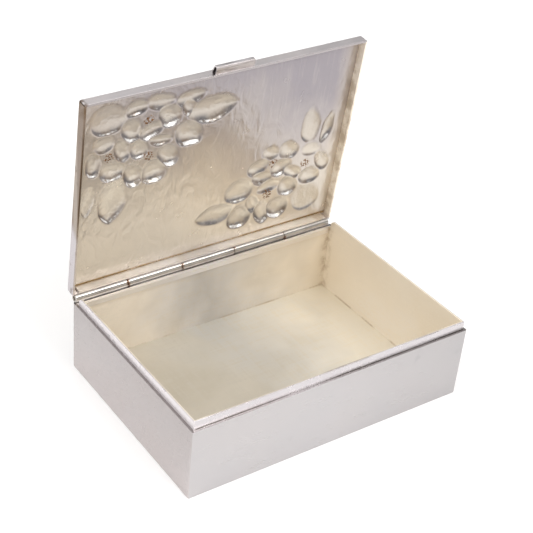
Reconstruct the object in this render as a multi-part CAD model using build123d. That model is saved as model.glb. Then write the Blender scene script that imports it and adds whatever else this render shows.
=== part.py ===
from build123d import *
from math import cos, radians, sin, sqrt
import os

# A small rectangular table box of polished silver sheet with a hinged lid.
# The lid is worked with two sprays of blossom and leaves, hollow underneath.
# +X runs along the hinge, -Y is the front and +Z is up.
# The origin is at the centre of the underside of the base.
# The lid stands open at rest, as far as open_angle.

# Driving dimensions, in millimetres
box_width = 110.0
box_depth = 76.6
wall_height = 27.2
bezel_rise = 3.2
lid_height = 4.0
open_angle = 84.0

# Thickness of each sheet
wall_sheet = 0.95
base_sheet = 0.9
liner_sheet = 0.8
rim_sheet = 0.75
panel_sheet = 0.8

# Gap under the closed lid, and how far a cutting solid runs past what it cuts
seat_gap = 0.1
overrun = 1.0

# Rounding of the edges
wall_corner = 0.5
wall_edge = 0.3
bezel_edge = 0.25
lid_corner = 0.8
lid_top_edge = 0.55
lid_free_edge = 0.15

# Where the raised bezel stops short of the back, and the round of its corner
bezel_back_gap = 2.4
bezel_end_round = 2.2

# Hinge: its axis lies behind the back wall and above the rebate
axis_behind = 1.3
axis_above = 0.6
tube_outer = 3.5
tube_bore = 1.9
pin_diameter = 1.8
pin_recess = 1.0
tube_inset = 1.0
knuckle_length = 22.3
knuckle_gap = 0.16
knuckle_clearance = 0.15
knuckle_edge = 0.15

# Strips that back the hinge inside the box and inside the lid
box_strip_height = 2.0
box_strip_sheet = 0.7
lid_strip_sheet = 0.75
strip_end_gap = 0.6
strip_end_round = 0.5

# Thumb piece: a strip bent into a hollow lip on the front rim
thumb_length = 14.9
thumb_offset = 0.4
thumb_sheet = 0.4
thumb_reach = 2.8
thumb_root_low = 0.45
thumb_root_high = 2.9
thumb_tip_low = 0.1
thumb_tip_high = 2.0
thumb_bend = 0.6

# Raised work on the lid: full rise of the tallest petal
relief_rise = 2.1

# Each petal or leaf: centre across and along the lid, as shares of its width
# and depth; half length and half width, as shares of its width; its turn in
# degrees; its rise, as a share of the tallest.
petal_shares = [
    # left spray: round leaf, then three blossoms and their leaves
    (-0.400, -0.373, 0.060, 0.050, 8, 0.75),
    (-0.310, -0.400, 0.041, 0.026, -12, 0.60),
    (-0.228, -0.405, 0.048, 0.028, 6, 0.60),
    (-0.190, -0.326, 0.045, 0.037, 38, 0.90),
    (-0.319, -0.294, 0.041, 0.034, 68, 0.80),
    (-0.252, -0.270, 0.042, 0.028, -20, 0.80),
    (-0.122, -0.388, 0.052, 0.028, -10, 0.75),
    (-0.121, -0.345, 0.036, 0.026, 80, 0.85),
    (-0.035, -0.307, 0.088, 0.047, -3, 1.00),
    (-0.115, -0.206, 0.056, 0.042, 38, 1.00),
    (-0.183, -0.120, 0.046, 0.034, 55, 0.95),
    (-0.213, -0.208, 0.040, 0.020, 5, 0.60),
    (-0.290, -0.190, 0.038, 0.030, 60, 0.65),
    (-0.303, -0.060, 0.046, 0.031, 66, 0.95),
    (-0.228, -0.050, 0.045, 0.042, 30, 1.00),
    (-0.410, -0.256, 0.036, 0.028, -10, 0.45),
    (-0.348, -0.204, 0.041, 0.026, 80, 0.65),
    (-0.442, -0.162, 0.043, 0.026, 82, 0.75),
    (-0.377, -0.107, 0.044, 0.037, 12, 0.90),
    (-0.368, 0.052, 0.083, 0.049, 94, 0.80),
    (-0.452, 0.026, 0.055, 0.022, 96, 0.30),
    # right spray: two tall leaves, then three blossoms and their leaves
    (0.359, -0.085, 0.074, 0.038, 82, 0.50),
    (0.432, -0.043, 0.062, 0.021, 102, 0.65),
    (0.214, 0.024, 0.034, 0.027, 10, 0.50),
    (0.284, 0.031, 0.041, 0.034, 40, 0.65),
    (0.173, 0.088, 0.040, 0.031, -15, 0.65),
    (0.193, 0.157, 0.039, 0.025, 8, 0.70),
    (0.264, 0.120, 0.039, 0.032, -28, 0.75),
    (0.379, 0.060, 0.042, 0.028, 10, 0.35),
    (0.432, 0.142, 0.045, 0.027, 60, 0.50),
    (0.391, 0.215, 0.043, 0.034, 15, 0.60),
    (0.315, 0.165, 0.038, 0.024, 30, 0.50),
    (0.304, 0.245, 0.042, 0.035, 55, 0.80),
    (0.277, 0.354, 0.047, 0.042, 40, 1.00),
    (0.216, 0.360, 0.048, 0.030, 78, 0.85),
    (0.170, 0.298, 0.035, 0.026, 80, 0.60),
    (0.227, 0.216, 0.044, 0.024, -5, 0.50),
    (0.108, 0.194, 0.054, 0.046, 15, 0.80),
    (0.026, 0.296, 0.074, 0.038, -4, 0.65),
    (0.124, 0.350, 0.048, 0.044, 55, 0.90),
    (0.392, 0.342, 0.061, 0.054, 35, 0.45),
]
# A leaf this much longer than it is wide is three domes in a row
long_leaf_share = 1.4

# Places worked out from the sizes above
half_width = box_width / 2
half_depth = box_depth / 2
bezel_top = wall_height + bezel_rise
lid_low = wall_height + seat_gap
lid_top = wall_height + lid_height
panel_low = lid_top - panel_sheet
axis_y = half_depth + axis_behind
axis_z = wall_height + axis_above
tube_radius = tube_outer / 2
tube_half = half_width - tube_inset
hinge_axis = Axis((0, axis_y, axis_z), (1, 0, 0))

FRONT, RIGHT, BACK, LEFT = range(4)


def corners(half_x, half_y):
    return [(-half_x, -half_y), (half_x, -half_y), (half_x, half_y), (-half_x, half_y)]


# A rectangular band of sheet standing on edge, with rounded outer corners
def band(half_x, half_y, sheet, low, high, corner):
    if corner:
        outline = RectangleRounded(2 * half_x, 2 * half_y, corner)
    else:
        outline = Rectangle(2 * half_x, 2 * half_y)
    outline -= Rectangle(2 * (half_x - sheet), 2 * (half_y - sheet))
    return extrude(Pos(0, 0, low) * outline, amount=high - low)


# One side of a band, cut from it at the mitres
def side_of(solid, side, half_x, half_y, sheet):
    outer = corners(half_x + overrun, half_y + overrun)
    inner = corners(half_x - sheet - overrun, half_y - sheet - overrun)
    after = (side + 1) % len(outer)
    outline = Polyline(outer[side], outer[after], inner[after], inner[side], close=True)
    box = solid.bounding_box()
    low = box.min.Z - overrun
    wedge = extrude(Pos(0, 0, low) * make_face(outline), amount=box.size.Z + 2 * overrun)
    return (solid & wedge).solid()


def top_face(solid):
    return solid.faces().sort_by(Axis.Z)[-1]


def bottom_face(solid):
    return solid.faces().sort_by(Axis.Z)[0]


# A round bar along the hinge axis between two places on X
def hinge_bar(radius, start, end):
    place = Pos((start + end) / 2, axis_y, axis_z) * Rotation(0, 90, 0)
    return place * Cylinder(radius, end - start)


# The ends of the five knuckles; the first, third and fifth belong to the box
def knuckle_spans():
    inner = knuckle_length / 2
    outer = inner + knuckle_length
    stops = [-tube_half, -outer, -inner, inner, outer, tube_half]
    return list(zip(stops[:-1], stops[1:]))


def knuckle(span):
    start = span[0] + knuckle_gap / 2
    end = span[1] - knuckle_gap / 2
    solid = hinge_bar(tube_radius, start, end)
    solid = chamfer(solid.edges().filter_by(GeomType.CIRCLE), knuckle_edge)
    return solid - hinge_bar(tube_bore / 2, start - overrun, end + overrun)


# A groove for each knuckle: a seat for its own, and clearance for the others
def groove(solid, own):
    for number, span in enumerate(knuckle_spans()):
        radius = tube_radius
        if number not in own:
            radius += knuckle_clearance
        start, end = span
        if number == 0:
            start -= knuckle_gap
        if span[1] == tube_half:
            end += knuckle_gap
        solid -= hinge_bar(radius, start, end)
    return solid.solid()


box_knuckles = (0, 2, 4)
lid_knuckles = (1, 3)


# Outer walls of the box
def outer_walls():
    solid = band(half_width, half_depth, wall_sheet, 0, wall_height, wall_corner)
    solid = fillet(bottom_face(solid).outer_wire().edges(), wall_edge)
    sides = [side_of(solid, side, half_width, half_depth, wall_sheet) for side in range(4)]
    sides[BACK] = groove(sides[BACK], box_knuckles)
    return sides


def base_plate():
    plate = Rectangle(2 * (half_width - wall_sheet), 2 * (half_depth - wall_sheet))
    return extrude(plate, amount=base_sheet)


# Room for the back of the closed lid, with a round corner on each side bezel
def bezel_cut():
    end = half_depth - bezel_back_gap
    start = end - bezel_end_round
    level = bezel_top - bezel_end_round
    lift = bezel_end_round * sqrt(0.5)
    above = bezel_top + overrun
    behind = half_depth + overrun
    path = Polyline((end, level), (end, wall_height), (behind, wall_height))
    path += Polyline((behind, wall_height), (behind, above), (start, above), (start, bezel_top))
    path += ThreePointArc((start, bezel_top), (start + lift, level + lift), (end, level))
    return extrude(Plane.YZ * make_face(path), amount=box_width, both=True)


# Inner walls, which stand above the outer ones as the bezel that locates the lid
def liners():
    half_x = half_width - wall_sheet
    half_y = half_depth - wall_sheet
    solid = band(half_x, half_y, liner_sheet, base_sheet, bezel_top, 0)
    top = top_face(solid)
    edges = top.outer_wire().edges() + top.inner_wires()[0].edges()
    solid = fillet(edges, bezel_edge) - bezel_cut()
    return [side_of(solid, side, half_x, half_y, liner_sheet) for side in range(4)]


def strip(inner_y, sheet, low, high, end_x):
    block = Pos(0, inner_y + sheet / 2, (low + high) / 2) * Box(2 * end_x, sheet, high - low)
    ends = block.edges().filter_by(Axis.Z).group_by(Axis.Y)[0]
    return fillet(ends, strip_end_round)


def strip_end():
    return half_width - wall_sheet - liner_sheet - strip_end_gap


def box_strip():
    back = half_depth - wall_sheet - liner_sheet
    low = wall_height - box_strip_height
    return strip(back - box_strip_sheet, box_strip_sheet, low, wall_height, strip_end())


# The lid is drawn closed, then swung back about the hinge
def opened(solid):
    return solid.rotate(hinge_axis, -open_angle)


def lid_rims():
    solid = band(half_width, half_depth, rim_sheet, lid_low, lid_top, lid_corner)
    solid = fillet(top_face(solid).outer_wire().edges(), lid_top_edge)
    solid = fillet(bottom_face(solid).outer_wire().edges(), lid_free_edge)
    sides = [side_of(solid, side, half_width, half_depth, rim_sheet) for side in range(4)]
    sides[BACK] = groove(sides[BACK], lid_knuckles)
    return sides


# The outer and inner sphere of one dome of the sheet, both about one centre
def dome(x, y, radius, rise):
    outer = (radius**2 + rise**2) / (2 * rise)
    centre = Pos(x, y, lid_top + rise - outer)
    return centre * Sphere(outer), centre * Sphere(outer - panel_sheet)


# The domes of one petal, or of one long leaf
def petal_domes(across, along, length, width, turn, rise):
    x = across * box_width
    y = along * box_depth
    rise *= relief_rise
    if length < long_leaf_share * width:
        return [dome(x, y, sqrt(length * width) * box_width, rise)]
    reach = (length - width) * box_width
    places = [step * reach for step in (-1, 0, 1)]
    c = cos(radians(turn))
    s = sin(radians(turn))
    return [dome(x + far * c, y + far * s, width * box_width, rise) for far in places]


def lid_panel():
    plate = Rectangle(2 * (half_width - rim_sheet), 2 * (half_depth - rim_sheet))
    plate = extrude(Pos(0, 0, panel_low) * plate, amount=panel_sheet)
    domes = [pair for petal in petal_shares for pair in petal_domes(*petal)]
    middle = panel_low + (panel_sheet + box_depth) / 2
    above = Pos(0, 0, middle) * Box(box_width, box_depth, box_depth)
    raised = Part() + [outer for outer, _ in domes]
    hollow = Part() + [inner for _, inner in domes]
    return (plate + (raised & above) - hollow).solid()


def lid_strip():
    back = half_depth - rim_sheet
    return strip(back - lid_strip_sheet, lid_strip_sheet, lid_low, panel_low, strip_end())


def lip_section(inset):
    root = -half_depth
    tip = root - thumb_reach + inset
    outline = Polyline(
        (root, wall_height + thumb_root_low + inset),
        (tip, wall_height + thumb_tip_low + inset),
        (tip, wall_height + thumb_tip_high - inset),
        (root, wall_height + thumb_root_high - inset),
        close=True,
    )
    return Plane.YZ * make_face(outline)


def rounded_lip(inset, length, radius):
    solid = extrude(lip_section(inset), amount=length / 2, both=True)
    bends = solid.edges().filter_by(Axis.X).group_by(Axis.Y)[0]
    return fillet(bends, radius)


def thumb_piece():
    outer = rounded_lip(0, thumb_length, thumb_bend)
    inner = rounded_lip(thumb_sheet, thumb_length + 2 * overrun, thumb_bend - thumb_sheet)
    return Pos(thumb_offset, 0, 0) * (outer - inner)


def hinge_pin():
    end = tube_half - pin_recess
    pin = hinge_bar(pin_diameter / 2, -end, end)
    return chamfer(pin.edges().filter_by(GeomType.CIRCLE), knuckle_edge)


def pieces():
    spans = knuckle_spans()
    sides = ("front", "right", "back", "left")
    model = {"base_plate": base_plate()}
    for name, solid in zip(sides, outer_walls()):
        model[name + "_wall"] = solid
    for name, solid in zip(sides, liners()):
        model[name + "_liner"] = solid
    model["box_hinge_strip"] = box_strip()
    for name, number in zip(("left", "middle", "right"), box_knuckles):
        model["box_knuckle_" + name] = knuckle(spans[number])
    model["hinge_pin"] = hinge_pin()
    model["lid_panel"] = opened(lid_panel())
    for name, solid in zip(sides, lid_rims()):
        model["lid_rim_" + name] = opened(solid)
    model["lid_hinge_strip"] = opened(lid_strip())
    for name, number in zip(("left", "right"), lid_knuckles):
        model["lid_knuckle_" + name] = opened(knuckle(spans[number]))
    model["thumb_piece"] = opened(thumb_piece())
    return model


os.makedirs("parts", exist_ok=True)
for name, solid in pieces().items():
    export_step(solid, "parts/" + name + ".step")
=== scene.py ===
import math

import bpy
import numpy as np
from mathutils import Matrix, Vector


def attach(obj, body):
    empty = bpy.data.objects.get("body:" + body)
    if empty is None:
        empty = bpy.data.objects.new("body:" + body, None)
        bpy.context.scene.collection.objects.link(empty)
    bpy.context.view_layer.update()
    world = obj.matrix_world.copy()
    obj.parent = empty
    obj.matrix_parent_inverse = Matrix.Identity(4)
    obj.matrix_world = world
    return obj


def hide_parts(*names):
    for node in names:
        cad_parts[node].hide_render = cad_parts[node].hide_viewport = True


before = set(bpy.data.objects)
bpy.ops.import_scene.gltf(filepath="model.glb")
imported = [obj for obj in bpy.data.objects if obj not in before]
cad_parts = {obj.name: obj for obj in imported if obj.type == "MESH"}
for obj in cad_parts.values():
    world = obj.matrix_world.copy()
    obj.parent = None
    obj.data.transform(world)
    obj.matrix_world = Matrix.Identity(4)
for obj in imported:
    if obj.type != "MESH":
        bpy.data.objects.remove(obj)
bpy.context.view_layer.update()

# The box and its lid in metres, with the sizes of the CAD part.
# +X runs along the hinge, -Y is the front and +Z is up.
MM = 0.001
HALF_WIDTH = 55.0 * MM
HALF_DEPTH = 38.3 * MM
WALL_TOP = 27.2 * MM
LID_TOP = 31.2 * MM
BASE_SHEET = 0.9 * MM
WALL_SHEET = 0.95 * MM
LINER_SHEET = 0.8 * MM
RIM_SHEET = 0.75 * MM
PANEL_SHEET = 0.8 * MM
KNUCKLE_LENGTH = 22.3 * MM
RELIEF_RISE = 2.1 * MM
OPEN_ANGLE = math.radians(84)
AXIS_Y = HALF_DEPTH + 1.3 * MM
AXIS_Z = WALL_TOP + 0.6 * MM
BEZEL_TOP = LID_TOP - PANEL_SHEET
INSIDE_X = HALF_WIDTH - WALL_SHEET - LINER_SHEET
INSIDE_Y = HALF_DEPTH - WALL_SHEET - LINER_SHEET

# Mesh of the lid panel: the size of a cell, how far the panel clears the bezel
# when the lid is shut, and the width over which the raised work fades at a rim
PANEL_CELL = 0.3 * MM
SEAT_GAP = 0.03 * MM
RELIEF_FADE = 1.5 * MM

# Colours of tarnish and of polish left in corners, and of painted shade, reflection and highlight
LEDGE_SHADE_GREY = (0.36, 0.33, 0.32)
CORNER_BROWN = (0.16, 0.10, 0.06)
FOLD_GREY = (0.20, 0.17, 0.16)
REFLECTION_BAND_BUFF = (0.50, 0.44, 0.38)
RIM_CORNER_BROWN = (0.14, 0.09, 0.05)
SEAM_BROWN = (0.38, 0.26, 0.13)
REBATE_SHADOW_BLACK = (0.10, 0.085, 0.065)
TOP_EDGE_SHADE_GREY = (0.30, 0.25, 0.20)
TOP_EDGE_SHADE_BROWN = (0.36, 0.29, 0.21)
JOINT_BROWN = (0.20, 0.10, 0.05)
CREASE_SHADE_GREY = (0.14, 0.12, 0.12)
CREASE_SHADE_BROWN = (0.24, 0.16, 0.11)
SHADE_BAND_GREY = (0.135, 0.125, 0.13)
SHADE_BAND_BROWN = (0.18, 0.135, 0.105)
STAMEN_BROWN = (0.21, 0.095, 0.03)
STRIP_BROWN = (0.25, 0.15, 0.045)

# Colours of the bezel, the lid panel and the hinge tubes, some of them painted light and reflection
BEZEL_DEEP = (0.60, 0.57, 0.585)
BEZEL_PALE = (0.68, 0.65, 0.66)
BEZEL_LEFT_LIT = (0.78, 0.735, 0.745)
SHEET_CREAM_REFLECTION = (0.76, 0.69, 0.60)
SHEET_LAVENDER_REFLECTION = (0.42, 0.385, 0.415)
SHEET_DULL_REFLECTION = (0.60, 0.51, 0.43)
SHEET_PAINTED_LIGHT = (0.98, 0.90, 0.80)
SHEET_STREAK = (0.80, 0.74, 0.68)
SHEET_EDGE_LIGHT = (0.88, 0.77, 0.62)
HOLLOW_REFLECTION_CREAM = (0.85, 0.765, 0.635)
GLINT_WHITE = (0.93, 0.92, 0.91)
TUBE_PALE = (0.55, 0.515, 0.47)
TUBE_DEEP = (0.42, 0.39, 0.36)

# A fine noise: its scale, detail and roughness
SPECKS = (420, 3.0, 0.6)


# Camera: solved from the edges of the box, which the photo shows off centre
def make_camera():
    azimuth = math.radians(-33.1227)
    elevation = math.radians(33.9698)
    roll = math.radians(2.9634)
    place = Vector((-0.224125, -0.282054, 0.285556))
    back = Vector((
        math.sin(azimuth) * math.cos(elevation),
        -math.cos(azimuth) * math.cos(elevation),
        math.sin(elevation),
    ))
    right = (-back).cross(Vector((0, 0, 1))).normalized()
    up = right.cross(-back)
    turned_right = right * math.cos(roll) + up * math.sin(roll)
    turned_up = up * math.cos(roll) - right * math.sin(roll)
    data = bpy.data.cameras.new("camera")
    data.lens = 87.74
    data.sensor_width = 36
    data.shift_x = 0.1757
    data.shift_y = 0.0074
    data.clip_start = 0.01
    data.clip_end = 20
    camera = bpy.data.objects.new("camera", data)
    bpy.context.scene.collection.objects.link(camera)
    columns = Matrix((turned_right, turned_up, back)).transposed().to_4x4()
    camera.matrix_world = Matrix.Translation(place) @ columns
    bpy.context.scene.camera = camera


# A node tree, with short calls for the nodes that the materials use. A value
# may be a number, a colour or the output of another node.
class Shader:
    def __init__(self, tree):
        self.tree = tree
        self.tree.nodes.clear()
        self.place = self.add("ShaderNodeTexCoord").outputs["Object"]

    def add(self, kind, **values):
        node = self.tree.nodes.new(kind)
        for key, value in values.items():
            setattr(node, key, value)
        return node

    def plug(self, socket, value):
        if isinstance(value, bpy.types.NodeSocket):
            self.tree.links.new(value, socket)
        elif hasattr(socket.default_value, "__len__") and not hasattr(value, "__len__"):
            socket.default_value = [value] * len(socket.default_value)
        elif hasattr(value, "__len__") and len(value) == 3 and len(socket.default_value) == 4:
            socket.default_value = (*value, 1)
        else:
            socket.default_value = value

    def math(self, operation, a, b=0.0):
        node = self.add("ShaderNodeMath", operation=operation)
        self.plug(node.inputs[0], a)
        self.plug(node.inputs[1], b)
        return node.outputs[0]

    def plus(self, a, b):
        return self.math("ADD", a, b)

    def minus(self, a, b):
        return self.math("SUBTRACT", a, b)

    def times(self, a, b):
        return self.math("MULTIPLY", a, b)

    def lowest(self, a, b):
        return self.math("MINIMUM", a, b)

    def highest(self, a, b):
        return self.math("MAXIMUM", a, b)

    def size(self, a):
        return self.math("ABSOLUTE", a)

    # 1 minus the value
    def rest(self, a):
        return self.minus(1.0, a)

    def dot(self, a, b):
        node = self.add("ShaderNodeVectorMath", operation="DOT_PRODUCT")
        self.plug(node.inputs[0], a)
        self.plug(node.inputs[1], b)
        return node.outputs["Value"]

    # the piece's own coordinates, stretched, turned in degrees and shifted
    def moved(self, scale=(1, 1, 1), turn=(0, 0, 0), shift=(0, 0, 0)):
        node = self.add("ShaderNodeMapping")
        self.plug(node.inputs["Vector"], self.place)
        self.plug(node.inputs["Scale"], scale)
        self.plug(node.inputs["Rotation"], [math.radians(t) for t in turn])
        self.plug(node.inputs["Location"], shift)
        return node.outputs[0]

    def noise(self, scale, detail=3.0, rough=0.5, vector=None, distortion=0.0):
        node = self.add("ShaderNodeTexNoise")
        self.plug(node.inputs["Vector"], vector or self.place)
        self.plug(node.inputs["Scale"], scale)
        self.plug(node.inputs["Detail"], detail)
        self.plug(node.inputs["Roughness"], rough)
        self.plug(node.inputs["Distortion"], distortion)
        return node.outputs["Fac"]

    # distance to the nearest of many scattered points, in a flat pattern
    def dots(self, scale, across, upward):
        flat = self.add("ShaderNodeCombineXYZ")
        self.plug(flat.inputs[0], across)
        self.plug(flat.inputs[1], upward)
        node = self.add("ShaderNodeTexVoronoi", voronoi_dimensions="2D")
        self.plug(node.inputs["Vector"], flat.outputs[0])
        self.plug(node.inputs["Scale"], scale)
        return node.outputs["Distance"]

    # 0 at low, 1 at high, smooth between
    def step(self, value, low, high):
        node = self.add("ShaderNodeMapRange", interpolation_type="SMOOTHSTEP")
        self.plug(node.inputs["Value"], value)
        self.plug(node.inputs["From Min"], low)
        self.plug(node.inputs["From Max"], high)
        return node.outputs["Result"]

    # start at low, end at high, straight between
    def ramp(self, value, low, high, start=0.0, end=1.0):
        node = self.add("ShaderNodeMapRange", clamp=True)
        names = ("Value", "From Min", "From Max", "To Min", "To Max")
        for name, amount in zip(names, (value, low, high, start, end)):
            self.plug(node.inputs[name], amount)
        return node.outputs["Result"]

    # soft patches: 0 where the noise is under low, 1 where it is over high
    def patches(self, low, high, *noise):
        return self.step(self.noise(*noise), low, high)

    # a level that wanders with the noise from start to end
    def wander(self, start, end, *noise, low=0.3, high=0.7):
        return self.ramp(self.noise(*noise), low, high, start, end)

    def mix(self, share, a, b, blend="MIX"):
        node = self.add("ShaderNodeMix", data_type="RGBA", blend_type=blend)
        self.plug(node.inputs["Factor"], share)
        self.plug(node.inputs[6], a)
        self.plug(node.inputs[7], b)
        return node.outputs[2]

    def dimmed(self, colour, level):
        grey = self.add("ShaderNodeCombineColor")
        for socket in grey.inputs:
            self.plug(socket, level)
        return self.mix(1.0, colour, grey.outputs[0], "MULTIPLY")

    def bump(self, height, distance, strength=1.0, normal=None):
        node = self.add("ShaderNodeBump")
        self.plug(node.inputs["Height"], height)
        self.plug(node.inputs["Distance"], distance)
        self.plug(node.inputs["Strength"], strength)
        if normal is not None:
            self.plug(node.inputs["Normal"], normal)
        return node.outputs["Normal"]

    # 1 on faces that look in the given direction, which turns with the piece
    def facing(self, direction, low=0.6, high=0.9):
        normal = self.add("ShaderNodeTexCoord").outputs["Normal"]
        return self.step(self.dot(normal, direction), low, high)

    def attribute(self, name):
        return self.add("ShaderNodeAttribute", attribute_name=name).outputs["Fac"]

    def parts(self, vector=None):
        node = self.add("ShaderNodeSeparateXYZ")
        self.plug(node.inputs[0], vector or self.place)
        return node.outputs

    def metal(self, colour, roughness, normal, metallic=1.0):
        node = self.add("ShaderNodeBsdfPrincipled")
        self.plug(node.inputs["Base Color"], colour)
        self.plug(node.inputs["Roughness"], roughness)
        self.plug(node.inputs["Metallic"], metallic)
        self.plug(node.inputs["Normal"], normal)
        out = self.add("ShaderNodeOutputMaterial")
        self.tree.links.new(node.outputs[0], out.inputs["Surface"])


def new_material(name):
    material = bpy.data.materials.new(name)
    material.use_nodes = True
    return material, Shader(material.node_tree)


# A colour times one share, or times a share for each of its three parts
def tinted(colour, *shares):
    if len(shares) == 1:
        shares *= 3
    return [part * share for part, share in zip(colour, shares)]


# Fine scratches from polishing, in three directions
def scratches(s):
    total = None
    for turn, shift in ((12, 0.0), (-35, 3.1), (78, 7.7)):
        stretched = s.moved((60, 1400, 1400), (turn, turn * 0.7, turn), (shift, 0, 0))
        line = s.patches(0.60, 0.74, 1.0, 2.0, 0.6, stretched)
        total = line if total is None else s.highest(total, line)
    return total


# Polished outer silver. right and top are painted reflection: they darken the
# colour towards the box's right end and towards the top. The ledge share is painted
# shade, grey, on a wall's top face; the front-face colour is painted shade on the
# faces towards the front; folds is the strength of the thumb piece's bending marks.
def polished_silver(name, tint, warm, roughness=0.16, right=1.0, top=1.0, ledge_shade=0.0, front_face_shade=None, folds=0.0):
    material, s = new_material(name)
    x, _, z = s.parts()
    cloud = s.patches(0.35, 0.68, 38, 4.0, 0.55)
    colour = s.mix(s.times(cloud, 0.7), tint, warm)
    spots = s.patches(0.60, 0.78, 190, 5.0, 0.62)
    colour = s.mix(spots, colour, tinted(tint, 0.90))
    # painted reflection: darker towards the box's right end and towards the top
    colour = s.mix(s.ramp(x, 0.0, HALF_WIDTH), colour, [right] * 3, "MULTIPLY")
    colour = s.mix(s.ramp(z, 4.0 * MM, 26.0 * MM), colour, [top] * 3, "MULTIPLY")
    if ledge_shade:
        # painted shade: grey on a wall's top face, in wandering patches
        on_top = s.step(z, WALL_TOP - 0.15 * MM, WALL_TOP - 0.02 * MM)
        ledge_shade_level = s.wander(0.3, ledge_shade, 25, 1.0, 0.5, low=0.35, high=0.65)
        colour = s.mix(s.times(on_top, ledge_shade_level), colour, LEDGE_SHADE_GREY)
    if front_face_shade:
        # painted shade: a darker colour on the faces towards the front
        colour = s.mix(s.facing((0, -1, 0), 0.3, 0.7), colour, front_face_shade)
        corner = s.step(x, -53.2 * MM, -54.5 * MM)
        corner = s.times(corner, s.patches(0.36, 0.56, *SPECKS))
        colour = s.mix(s.times(corner, 0.8), colour, CORNER_BROWN)
    if folds:
        marks = s.patches(0.50, 0.60, 1.0, 3.0, 0.6, s.moved((110, 2300, 2300)))
        colour = s.mix(s.times(marks, folds), colour, FOLD_GREY)
    lines = scratches(s)
    rough = s.wander(roughness * 0.8, roughness * 1.3, 90, 4.0, 0.6)
    rough = s.plus(rough, s.times(lines, 0.12))
    height = s.plus(s.times(s.noise(*SPECKS), 0.35), s.times(lines, -0.8))
    wave = s.bump(s.noise(45, 2.0, 0.4), 0.5 * MM, 0.25)
    s.metal(colour, rough, s.bump(height, 0.04 * MM, 0.35, wave))
    return material


# The left side of the lid's rim has a painted reflection: dark along its upper part
def rim_silver(name, tint, dark):
    material, s = new_material(name)
    _, y, z = s.parts()
    uneven = s.plus(z, s.times(s.noise(60, 3.0), 20 * MM))
    high = s.step(uneven, 62 * MM, 69 * MM)
    colour = s.mix(high, tint, dark)
    # a paler band down the middle of the dark painted reflection, and tarnish in the top corner
    middle = s.times(s.step(y, 35.2 * MM, 36.0 * MM), s.step(y, 38.6 * MM, 37.6 * MM))
    band = s.times(high, middle)
    colour = s.mix(s.times(band, 0.5), colour, REFLECTION_BAND_BUFF)
    corner = s.times(s.step(z, 98 * MM, 103 * MM), s.patches(0.36, 0.56, *SPECKS))
    colour = s.mix(s.times(corner, 0.8), colour, RIM_CORNER_BROWN)
    spots = s.patches(0.55, 0.75, 260, 4.0, 0.6)
    colour = s.mix(spots, colour, tinted(dark, 0.8))
    s.metal(colour, 0.2, s.bump(s.noise(300, 3.0), 0.04 * MM, 0.3))
    return material


# Brown tarnish along the seams of the floor, heaviest in the back right corner
def seam_tarnish(s, x, y, z):
    seam = s.lowest(s.minus(INSIDE_X, s.size(x)), s.minus(INSIDE_Y, s.size(y)))
    seam = s.highest(s.size(seam), s.size(s.minus(z, BASE_SHEET)))
    line = s.rest(s.step(seam, 0.1 * MM, 0.7 * MM))
    line = s.times(line, s.patches(0.42, 0.62, 120, 4.0, 0.6))
    corner = s.plus(s.minus(INSIDE_X, x), s.minus(INSIDE_Y, y))
    corner = s.rest(s.step(corner, 0.2 * MM, 4.0 * MM))
    corner = s.times(corner, s.patches(0.40, 0.62, 150, 4.0, 0.65))
    return s.highest(s.times(line, 0.45), s.times(corner, 0.55))
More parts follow.
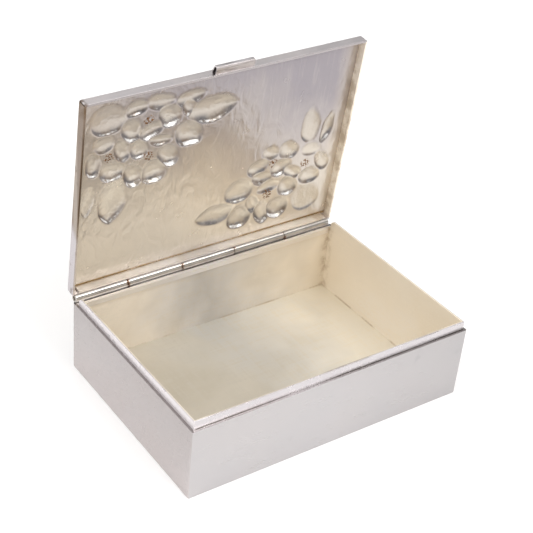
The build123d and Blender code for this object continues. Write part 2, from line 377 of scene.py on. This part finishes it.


# Satin inner silver. Its three levels are painted light and shade: the colour's
# levels at the left, middle and right of the box. bezel polishes the outer half of
# a liner, and the right-face colour is a painted reflection on the faces towards the right.
def satin_silver(
    name, pale, deep, roughness=0.38, metallic=0.32, bezel=True, light_levels=(0.78, 0.77, 1.08), right_face_reflection=None
):
    material, s = new_material(name)
    x, y, z = s.parts()
    cloud = s.patches(0.33, 0.70, 24, 4.0, 0.6, None, 0.4)
    colour = s.mix(cloud, pale, deep)
    grey = s.patches(0.46, 0.66, 17, 3.0, 0.5, s.moved(shift=(0.3, 0.1, 0.2)), 0.8)
    colour = s.mix(s.times(grey, 0.8), colour, tinted(pale, 0.93, 0.97, 1.06))
    long_way = s.noise(1.0, 4.0, 0.6, s.moved((55, 900, 900)))
    short_way = s.noise(1.0, 4.0, 0.6, s.moved((900, 55, 700)))
    streak = s.times(s.plus(long_way, short_way), 0.5)
    colour = s.mix(s.step(streak, 0.48, 0.62), colour, tinted(pale, 0.93))
    warm_side = s.step(x, -5 * MM, 50 * MM)
    colour = s.mix(s.times(warm_side, 0.5), colour, tinted(pale, 1.0, 0.975, 0.90))
    # painted light and shade: the colour is scaled from the left to the right of the box
    left, middle, right = light_levels
    drift = s.plus(x, s.wander(-12 * MM, 12 * MM, 34, 3.0, 0.6))
    left_half = s.ramp(drift, -28 * MM, 6 * MM, left, middle)
    right_half = s.ramp(drift, 4 * MM, 44 * MM, middle, right)
    colour = s.dimmed(colour, s.highest(left_half, right_half))
    colour = s.mix(seam_tarnish(s, x, y, z), colour, SEAM_BROWN)

    # the bezel's outer face is polished, with painted shadow in the rebate
    # and painted shade along its top edge
    past_x = s.minus(s.size(x), INSIDE_X + LINER_SHEET / 2)
    past_y = s.minus(s.size(y), INSIDE_Y + LINER_SHEET / 2)
    outer = s.step(s.highest(past_x, past_y), 0.0, 0.2 * MM) if bezel else 0.0
    shine = s.mix(s.noise(70, 3.0), BEZEL_DEEP, BEZEL_PALE)
    # painted shadow low on the bezel, just over the wall's top
    low = s.rest(s.step(z, WALL_TOP + 0.15 * MM, WALL_TOP + 0.4 * MM))
    low = s.times(low, s.wander(0.1, 0.9, 30, 2.0, 0.5, low=0.40, high=0.60))
    low = s.times(low, s.ramp(x, -54.0 * MM, -53.0 * MM, 0.1, 1.0))
    shine = s.mix(low, shine, REBATE_SHADOW_BLACK)
    # painted shade along the top edge
    top_edge_shade = s.step(z, BEZEL_TOP - 0.4 * MM, BEZEL_TOP - 0.1 * MM)
    top_edge_shade = s.times(top_edge_shade, s.patches(0.44, 0.60, 45, 2.0, 0.5))
    top_edge_shade = s.times(top_edge_shade, 0.35)
    shine = s.mix(top_edge_shade, shine, TOP_EDGE_SHADE_GREY)
    colour = s.mix(top_edge_shade, colour, TOP_EDGE_SHADE_BROWN)
    # painted reflection: the bezel's left end is lighter and less metallic
    left_end_lit = s.ramp(x, -54.1 * MM, -53.6 * MM, 1.0, 0.0)
    shine = s.mix(left_end_lit, shine, BEZEL_LEFT_LIT)
    colour = s.mix(outer, colour, shine)
    # painted reflection on the faces towards the right
    if right_face_reflection:
        colour = s.mix(s.facing((1, 0, 0)), colour, right_face_reflection)
    rough = s.wander(roughness * 0.85, roughness * 1.15, 160, 3.0, 0.6)
    rough = s.minus(rough, s.times(outer, 0.10))
    share = s.plus(metallic, s.times(outer, 0.75 - metallic))
    share = s.minus(share, s.times(left_end_lit, 0.4))
    brushed = s.minus(0.25, s.times(outer, 0.25))
    s.metal(colour, rough, s.bump(streak, 0.1 * MM, brushed), share)
    return material


# The flat sheet of the lid, with painted reflections: cream at the lower left,
# lavender grey towards the upper right, with a duller upper left corner and a painted light on the lower
# right
def sheet_colour(s, x, z, streak, dull):
    across = s.ramp(x, -50 * MM, 50 * MM)
    upward = s.ramp(z, 35 * MM, 100 * MM)
    cool = s.plus(s.times(across, 0.35), s.times(upward, 0.75))
    cool = s.plus(cool, s.wander(-0.12, 0.12, 26, 4.0, 0.6, None, 0.5))
    colour = s.mix(s.step(cool, 0.38, 1.0), SHEET_CREAM_REFLECTION, SHEET_LAVENDER_REFLECTION)
    colour = s.mix(s.times(dull, 0.5), colour, SHEET_DULL_REFLECTION)
    # painted light on the lower right
    lit = s.times(s.step(x, -10 * MM, 35 * MM), s.step(z, 68 * MM, 42 * MM))
    lit = s.times(lit, s.ramp(x, 26 * MM, 46 * MM, 0.7, 0.22))
    colour = s.mix(lit, colour, SHEET_PAINTED_LIGHT)
    return s.mix(s.times(s.step(streak, 0.50, 0.66), 0.16), colour, SHEET_STREAK)


# Satin silver of the lid panel. The fields that it reads are zero on the
# panel's outer side.
def lid_silver():
    material, s = new_material("lid_silver")
    x, _, z = s.parts()
    streak = s.noise(1.0, 5.0, 0.65, s.moved((900, 500, 70)))
    # the duller upper left corner, a painted reflection
    dull = s.times(s.step(x, -30 * MM, -52 * MM), s.step(z, 60 * MM, 95 * MM))
    colour = sheet_colour(s, x, z, streak, dull)
    # painted reflection: the hollows are creamier than the flat sheet
    hollow = s.attribute("hollow")
    cream = s.times(hollow, s.minus(0.55, s.times(dull, 0.5)))
    colour = s.mix(cream, colour, HOLLOW_REFLECTION_CREAM)
    # painted light: the sheet is lighter and warmer by the right rim
    right_edge_light = s.step(x, 46 * MM, 53 * MM)
    colour = s.mix(s.times(right_edge_light, 0.35), colour, SHEET_EDGE_LIGHT)
    # painted shade: the sheet is darker low down and high up
    low_shade = s.ramp(z, 34 * MM, 55 * MM, 0.82, 0.91)
    high_shade = s.ramp(z, 66 * MM, 86 * MM, 1.0, 0.88)
    colour = s.dimmed(colour, s.times(low_shade, high_shade))
    # painted shade in the steep sides of the hollows, grey and brown
    crease_shade = s.times(s.attribute("crease_shade"), s.wander(0.45, 0.95, 260, 3.0, 0.6))
    colour = s.mix(crease_shade, colour, s.mix(s.noise(45, 2.0), CREASE_SHADE_GREY, CREASE_SHADE_BROWN))
    # painted shade in bands low in the hollows, and under it a painted highlight along the lower edge
    shade_band_colour = s.mix(s.patches(0.45, 0.6, 200, 2.0), SHADE_BAND_GREY, SHADE_BAND_BROWN)
    shade = s.wander(0.55, 0.95, 300, 3.0, 0.6, low=0.35, high=0.6)
    colour = s.mix(s.times(s.attribute("shade"), shade), colour, shade_band_colour)
    # painted highlight along the lower edge of the hollows
    glint = s.times(s.attribute("glint"), s.patches(0.41, 0.56, 420, 4.0, 0.65))
    colour = s.mix(glint, colour, GLINT_WHITE)
    # punched stamens, dark with tarnish, at the middle of each blossom
    near = s.rest(s.step(s.dots(1150, x, z), 0.28, 0.44))
    mark = s.times(s.attribute("stamen"), near)
    colour = s.mix(mark, colour, STAMEN_BROWN)
    # brown tarnish along the hinge strip, heaviest at its ends, and by the rim
    ends = s.step(s.size(x), 20 * MM, 50 * MM)
    stain = s.plus(s.noise(330, 4.0, 0.6), s.times(ends, 0.3))
    stain = s.times(s.attribute("stain"), s.ramp(stain, 0.35, 0.65, 0.6, 1.0))
    colour = s.mix(stain, colour, STRIP_BROWN)
    rough = s.wander(0.20, 0.28, 140, 3.0, 0.6)
    dent = s.bump(s.noise(520, 2.0, 0.5), 0.4 * MM, s.times(hollow, 0.7))
    dimple = s.bump(s.noise(300, 2.0, 0.5), 0.15 * MM, 0.45, dent)
    ripple = s.noise(1.0, 2.0, 0.5, s.moved((230, 220, 110)), 1.2)
    hammered = s.bump(ripple, 0.6 * MM, 0.42, dimple)
    planished = s.bump(streak, 0.1 * MM, 0.12, hammered)
    share = s.minus(0.63, s.times(hollow, 0.26))
    share = s.minus(share, s.times(glint, 0.2))
    s.metal(colour, rough, s.bump(mark, 0.2 * MM, 0.6, planished), share)
    return material


# Silver of the hinge tubes, with brown tarnish at the joints between them
def hinge_silver():
    material, s = new_material("hinge_silver")
    x, _, _ = s.parts()
    total = None
    for place in (-1.5, -0.5, 0.5, 1.5):
        joint = place * KNUCKLE_LENGTH
        near = s.rest(s.step(s.size(s.minus(x, joint)), 0.2 * MM, 1.1 * MM))
        total = near if total is None else s.highest(total, near)
    patch = s.times(total, s.patches(0.40, 0.58, 700, 3.0, 0.6))
    colour = s.mix(s.patches(0.4, 0.7, 110, 4.0, 0.6), TUBE_PALE, TUBE_DEEP)
    colour = s.mix(patch, colour, JOINT_BROWN)
    s.metal(colour, 0.16, s.bump(s.noise(500, 3.0), 0.05 * MM, 0.35), 0.7)
    return material


# Petals and leaves of the two sprays: centre across and along the lid, as
# shares of its width and depth; half length and half width, as shares of its
# width; turn in degrees; rise, as a share of the tallest; how pointed its tip.
PETAL_SHARES = [
    (-0.400, -0.373, 0.060, 0.050, 8, 0.75, 0.0),
    (-0.310, -0.400, 0.041, 0.026, -12, 0.60, 0.0),
    (-0.228, -0.405, 0.048, 0.028, 6, 0.60, 0.0),
    (-0.190, -0.326, 0.045, 0.037, 38, 0.90, 0.2),
    (-0.319, -0.294, 0.041, 0.034, 68, 0.80, 0.0),
    (-0.252, -0.270, 0.042, 0.028, -20, 0.80, 0.0),
    (-0.122, -0.388, 0.052, 0.028, -10, 0.75, 0.7),
    (-0.121, -0.345, 0.036, 0.026, 80, 0.85, 0.5),
    (-0.035, -0.307, 0.088, 0.047, -3, 1.00, 0.9),
    (-0.115, -0.206, 0.056, 0.042, 38, 1.00, 0.7),
    (-0.183, -0.120, 0.046, 0.034, 55, 0.95, 0.1),
    (-0.213, -0.208, 0.040, 0.020, 5, 0.60, 0.0),
    (-0.290, -0.190, 0.038, 0.030, 60, 0.65, 0.0),
    (-0.303, -0.060, 0.046, 0.031, 66, 0.95, 0.1),
    (-0.228, -0.050, 0.045, 0.042, 30, 1.00, 0.1),
    (-0.410, -0.256, 0.036, 0.028, -10, 0.45, 0.0),
    (-0.348, -0.204, 0.041, 0.026, 80, 0.65, 0.0),
    (-0.442, -0.162, 0.043, 0.026, 82, 0.75, 0.0),
    (-0.377, -0.107, 0.044, 0.037, 12, 0.90, 0.0),
    (-0.368, 0.052, 0.083, 0.049, 94, 0.80, 0.8),
    (-0.452, 0.026, 0.055, 0.022, 96, 0.30, 0.6),
    (0.359, -0.085, 0.074, 0.038, -98, 0.50, 0.8),
    (0.432, -0.043, 0.062, 0.021, 102, 0.65, 0.5),
    (0.214, 0.024, 0.034, 0.027, 10, 0.50, 0.0),
    (0.284, 0.031, 0.041, 0.034, 40, 0.65, 0.0),
    (0.173, 0.088, 0.040, 0.031, -15, 0.65, 0.0),
    (0.193, 0.157, 0.039, 0.025, 8, 0.70, 0.0),
    (0.264, 0.120, 0.039, 0.032, -28, 0.75, 0.0),
    (0.379, 0.060, 0.042, 0.028, 10, 0.35, 0.0),
    (0.432, 0.142, 0.045, 0.027, 60, 0.50, 0.0),
    (0.391, 0.215, 0.043, 0.034, 15, 0.60, 0.0),
    (0.315, 0.165, 0.038, 0.024, 30, 0.50, 0.0),
    (0.304, 0.245, 0.042, 0.035, 55, 0.80, 0.0),
    (0.277, 0.354, 0.047, 0.042, 40, 1.00, 0.0),
    (0.216, 0.360, 0.048, 0.030, 78, 0.85, 0.2),
    (0.170, 0.298, 0.035, 0.026, 80, 0.60, 0.0),
    (0.227, 0.216, 0.044, 0.024, -5, 0.50, 0.0),
    (0.108, 0.194, 0.054, 0.046, 15, 0.80, 0.0),
    (0.026, 0.296, 0.074, 0.038, 176, 0.65, 0.7),
    (0.124, 0.350, 0.048, 0.044, 55, 0.90, 0.0),
    (0.392, 0.342, 0.061, 0.054, 35, 0.45, 0.3),
]
# Middles of the blossoms, as the same shares
STAMEN_SHARES = [
    (-0.264, -0.326), (-0.391, -0.180), (-0.252, -0.138),
    (0.232, 0.091), (0.364, 0.137), (0.227, 0.265),
]


# Height of one petal, steeper on the side towards the hinge. Its outline
# waves a little, and point draws one end out to a tip.
def petal_height(x, y, across, along, length, width, turn, rise, point):
    swell = 1.06
    wave = 0.20 * MM
    seed = across * 91 + along * 57
    x = x + wave * np.sin(y / (1.5 * MM) + seed)
    y = y + wave * np.sin(x / (1.6 * MM) + 3 * seed)
    half_length = length * swell * 2 * HALF_WIDTH
    half_width = width * swell * 2 * HALF_WIDTH
    dx = x - across * 2 * HALF_WIDTH
    dy = y - along * 2 * HALF_DEPTH
    angle = math.radians(turn)
    u = (dx * math.cos(angle) + dy * math.sin(angle)) / half_length
    v = (dy * math.cos(angle) - dx * math.sin(angle)) / half_width
    room = np.clip(1 - u * u, 1e-6, None)
    bent = np.where(u > 0, point, 0.0)
    full = np.clip(room - v * v * room ** -bent, 0, None)
    full = np.where(np.abs(u) < 1, full, 0)
    lean = np.clip(dy / (0.8 * (half_length + half_width) / 2), -1, 1)
    return rise * RELIEF_RISE * full ** (1.0 - 0.4 * lean) * (1 + 0.20 * lean)


def blurred(field):
    for axis in (0, 1):
        field = (np.roll(field, 1, axis) + 2 * field + np.roll(field, -1, axis)) / 4
    return field


# The raised work as a height over the flat sheet
def relief(x, y):
    height = np.zeros_like(x)
    for petal in PETAL_SHARES:
        height = np.maximum(height, petal_height(x, y, *petal))
    return blurred(height)


# 0 at low, 1 from there on by width, smooth between
def eased(values, low, width):
    share = np.clip((values - low) / width, 0, 1)
    return share * share * (3 - 2 * share)


# Points of the shut lid, turned about the hinge to where it stands at rest
def opened(points):
    cosine, sine = math.cos(OPEN_ANGLE), math.sin(OPEN_ANGLE)
    turn = np.array([[cosine, sine], [-sine, cosine]])
    axis = (AXIS_Y, AXIS_Z)
    out = points.copy()
    out[:, 1:] = (points[:, 1:] - axis) @ turn.T + axis
    return out


# Where the lid panel is stained, hollow and marked, and where its painted shade and painted highlight go,
# for its material
def panel_fields(x, y, height, edge, across, along):
    middle = np.zeros_like(x)
    for share_x, share_y in STAMEN_SHARES:
        far = np.hypot(x - share_x * 2 * HALF_WIDTH, y - share_y * 2 * HALF_DEPTH)
        middle = np.maximum(middle, np.clip((2.1 * MM - far) / (0.5 * MM), 0, 1))
    back = along[-1]
    by_strip = np.clip(1.5 - np.abs(y - (back - 0.95 * MM)) / (0.5 * MM), 0, 1)
    by_rim = 0.8 * np.clip(1 - edge / (0.7 * MM), 0, 1)
    by_rim = by_rim * (y < back - 1.5 * MM) * (x < 45 * MM)
    slope_y, slope_x = np.gradient(height, along, across)
    # painted shade on the steep sides of the hollows, set by the way they face
    right_side = eased(0.88 * slope_x - 0.48 * slope_y, 0.26, 0.45)
    left_side = eased(-0.95 * slope_x - 0.30 * slope_y, 0.42, 0.45)
    low_side = 0.28 * np.abs(slope_x) - 1.0 * slope_y
    return {
        "stamen": middle,
        "stain": np.maximum(by_strip, by_rim),
        "crease_shade": blurred(np.maximum(right_side, 0.85 * left_side)),
        "hollow": eased(height, 0.0, 0.3 * RELIEF_RISE),
        "shade": eased(low_side, 0.15, 0.40) * (1 - eased(low_side, 0.78, 0.25)),
        "glint": eased(low_side, 0.74, 0.22),
    }


# A closed sheet between the panel's inner and outer surfaces
def panel_mesh(x, y, height):
    rows, columns = x.shape
    inside = np.stack([x, y, BEZEL_TOP + SEAT_GAP + height], -1).reshape(-1, 3)
    outside = np.stack([x, y, LID_TOP + height], -1).reshape(-1, 3)
    points = opened(np.concatenate([inside, outside]))
    number = np.arange(rows * columns).reshape(rows, columns)
    a, b, c, d = number[:-1, :-1], number[:-1, 1:], number[1:, 1:], number[1:, :-1]
    lower = np.stack([a, d, c, b], -1).reshape(-1, 4)
    upper = np.stack([a, b, c, d], -1).reshape(-1, 4) + rows * columns
    front, right, back, left = number[0, :], number[1:, -1], number[-1, -2::-1], number[-2:0:-1, 0]
    ring = np.concatenate([front, right, back, left])
    after = np.roll(ring, -1)
    side = np.stack([ring, after, after + rows * columns, ring + rows * columns], -1)
    faces = np.concatenate([lower, upper, side])
    mesh = bpy.data.meshes.new("blossom_lid_panel")
    mesh.vertices.add(len(points))
    mesh.vertices.foreach_set("co", points.astype(np.float32).ravel())
    mesh.loops.add(faces.size)
    mesh.loops.foreach_set("vertex_index", faces.astype(np.int32).ravel())
    mesh.polygons.add(len(faces))
    mesh.polygons.foreach_set("loop_start", np.arange(0, faces.size, 4, dtype=np.int32))
    smooth = np.ones(len(faces), bool)
    smooth[-len(side):] = False
    mesh.polygons.foreach_set("use_smooth", smooth)
    mesh.update(calc_edges=True)
    mesh.validate()
    return mesh


# The lid panel with its raised work, in place of the CAD's plainer domes
def lid_panel():
    half_x = HALF_WIDTH - RIM_SHEET
    half_y = HALF_DEPTH - RIM_SHEET
    across = np.linspace(-half_x, half_x, int(2 * half_x / PANEL_CELL))
    along = np.linspace(-half_y, half_y, int(2 * half_y / PANEL_CELL))
    x, y = np.meshgrid(across, along)
    edge = np.minimum(half_x - np.abs(x), half_y - np.abs(y))
    height = relief(x, y) * np.clip(edge / RELIEF_FADE, 0, 1)
    mesh = panel_mesh(x, y, height)
    for name, field in panel_fields(x, y, height, edge, across, along).items():
        layer = mesh.attributes.new(name, "FLOAT", "POINT")
        both_sides = np.concatenate([field.ravel(), field.ravel() * 0])
        layer.data.foreach_set("value", both_sides.astype(np.float32))
    panel = bpy.data.objects.new("blossom_lid_panel", mesh)
    bpy.context.scene.collection.objects.link(panel)
    panel.data.materials.append(lid_silver())
    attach(panel, "lid")
    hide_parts("lid_panel")


def paint_nodes():
    front = polished_silver(
        "silver_front", (0.533, 0.515, 0.519), (0.554, 0.528, 0.527), right=0.88, top=0.95, ledge_shade=0.8
    )
    side = polished_silver(
        "silver_side", (0.560, 0.521, 0.518), (0.569, 0.518, 0.508), 0.2, top=0.77, ledge_shade=0.35
    )
    rim = polished_silver(
        "silver_rim", (0.84, 0.80, 0.81), (0.84, 0.785, 0.775), 0.3, front_face_shade=(0.42, 0.39, 0.39)
    )
    thumb = polished_silver(
        "silver_thumb", (0.78, 0.75, 0.765), (0.76, 0.72, 0.71), 0.36, front_face_shade=(0.50, 0.46, 0.45), folds=0.55
    )
    left_rim = rim_silver("silver_left_rim", (0.55, 0.515, 0.53), (0.24, 0.185, 0.145))
    cream_rim = satin_silver(
        "satin_rim", (0.93, 0.86, 0.77), (0.88, 0.79, 0.67), 0.36, 0.4,
        bezel=False, light_levels=(1.0, 1.0, 1.1), right_face_reflection=(0.66, 0.635, 0.64),
    )
    floor = satin_silver("satin_floor", (0.80, 0.745, 0.635), (0.70, 0.645, 0.53))
    liner = satin_silver("satin_liner", (0.84, 0.77, 0.67), (0.74, 0.665, 0.56), light_levels=(1.15, 0.70, 1.12))
    strip = satin_silver(
        "satin_strip", (0.84, 0.79, 0.74), (0.72, 0.65, 0.57), 0.36, 0.6,
        bezel=False, light_levels=(1.0, 1.0, 1.1),
    )
    hinge = hinge_silver()
    # the first part of a node's name that is listed here gives its look
    looks = (
        ("left_wall", side), ("right_wall", side), ("front_wall", front), ("back_wall", front),
        ("lid_rim_left", left_rim), ("lid_rim_right", cream_rim), ("lid_rim", rim),
        ("thumb_piece", thumb), ("base_plate", floor), ("liner", liner), ("strip", strip),
        ("", hinge),
    )
    for name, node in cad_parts.items():
        look = next(look for part, look in looks if part in name)
        node.data.materials.clear()
        node.data.materials.append(look)


# A round white table top, a hair under the box. It glows a little wherever a
# camera, mirror or glass ray sees it, so that it blends with the backdrop.
def make_floor():
    steps = 96
    radius = 0.9
    below = -0.02 * MM
    angles = [2 * math.pi * n / steps for n in range(steps)]
    ring = [(radius * math.cos(a), radius * math.sin(a), below) for a in angles]
    mesh = bpy.data.meshes.new("table_top")
    mesh.from_pydata(ring, [], [list(range(steps))])
    table = bpy.data.objects.new("table_top", mesh)
    bpy.context.scene.collection.objects.link(table)
    material, s = new_material("pale_floor")
    node = s.add("ShaderNodeBsdfDiffuse")
    s.plug(node.inputs["Color"], (0.93, 0.925, 0.92))
    path = s.add("ShaderNodeLightPath")
    seen = s.highest(path.outputs["Is Camera Ray"], path.outputs["Is Glossy Ray"])
    seen = s.highest(seen, path.outputs["Is Transmission Ray"])
    glow = s.add("ShaderNodeEmission")
    s.plug(glow.inputs["Color"], (1, 1, 1))
    s.plug(glow.inputs["Strength"], s.times(seen, 0.17))
    both = s.add("ShaderNodeAddShader")
    s.tree.links.new(node.outputs[0], both.inputs[0])
    s.tree.links.new(glow.outputs[0], both.inputs[1])
    out = s.add("ShaderNodeOutputMaterial")
    s.tree.links.new(both.outputs[0], out.inputs["Surface"])
    mesh.materials.append(material)


# A white backdrop up to the height that a view can show, a dark band over it,
# a bright ceiling, and one dark patch high up on the front left
def make_world():
    world = bpy.data.worlds.new("studio")
    world.use_nodes = True
    bpy.context.scene.world = world
    s = Shader(world.node_tree)
    way = s.add("ShaderNodeTexCoord").outputs["Generated"]
    _, _, up = s.parts(way)
    band = s.times(s.step(up, 0.20, 0.27), s.step(up, 0.76, 0.42))
    wide, narrow = math.cos(math.radians(20)), math.cos(math.radians(9))
    patch = s.step(s.dot(way, (-0.52, -0.57, 0.63)), wide, narrow)
    level = s.times(s.rest(s.times(band, 0.88)), s.rest(s.times(patch, 0.8)))
    tone = s.add("ShaderNodeBackground")
    s.plug(tone.inputs["Color"], (1.0, 0.99, 0.985))
    s.plug(tone.inputs["Strength"], level)
    out = s.add("ShaderNodeOutputWorld")
    s.tree.links.new(tone.outputs[0], out.inputs["Surface"])


# An oval lamp that faces the box, as bright as its radiance whatever its size
def soft_light(name, direction, distance, wide, high, radiance):
    aim = Vector((0, 0, 30 * MM))
    way = Vector(direction).normalized()
    data = bpy.data.lights.new(name, "AREA")
    data.shape = "ELLIPSE"
    data.size = wide
    data.size_y = high
    data.energy = radiance * math.pi * math.pi * wide * high / 4
    lamp = bpy.data.objects.new(name, data)
    bpy.context.scene.collection.objects.link(lamp)
    lamp.rotation_mode = "QUATERNION"
    lamp.rotation_quaternion = (-way).to_track_quat("-Z", "Y")
    lamp.location = aim + way * distance


make_camera()
lid_panel()
paint_nodes()
make_floor()
make_world()
soft_light("key", (0.272, -0.583, 0.766), distance=0.9, wide=0.66, high=0.38, radiance=5.1)
soft_light("top", (-0.85, -0.15, 0.72), distance=1.2, wide=1.1, high=1.1, radiance=2.1)
bpy.context.scene.view_settings.view_transform = "Standard"
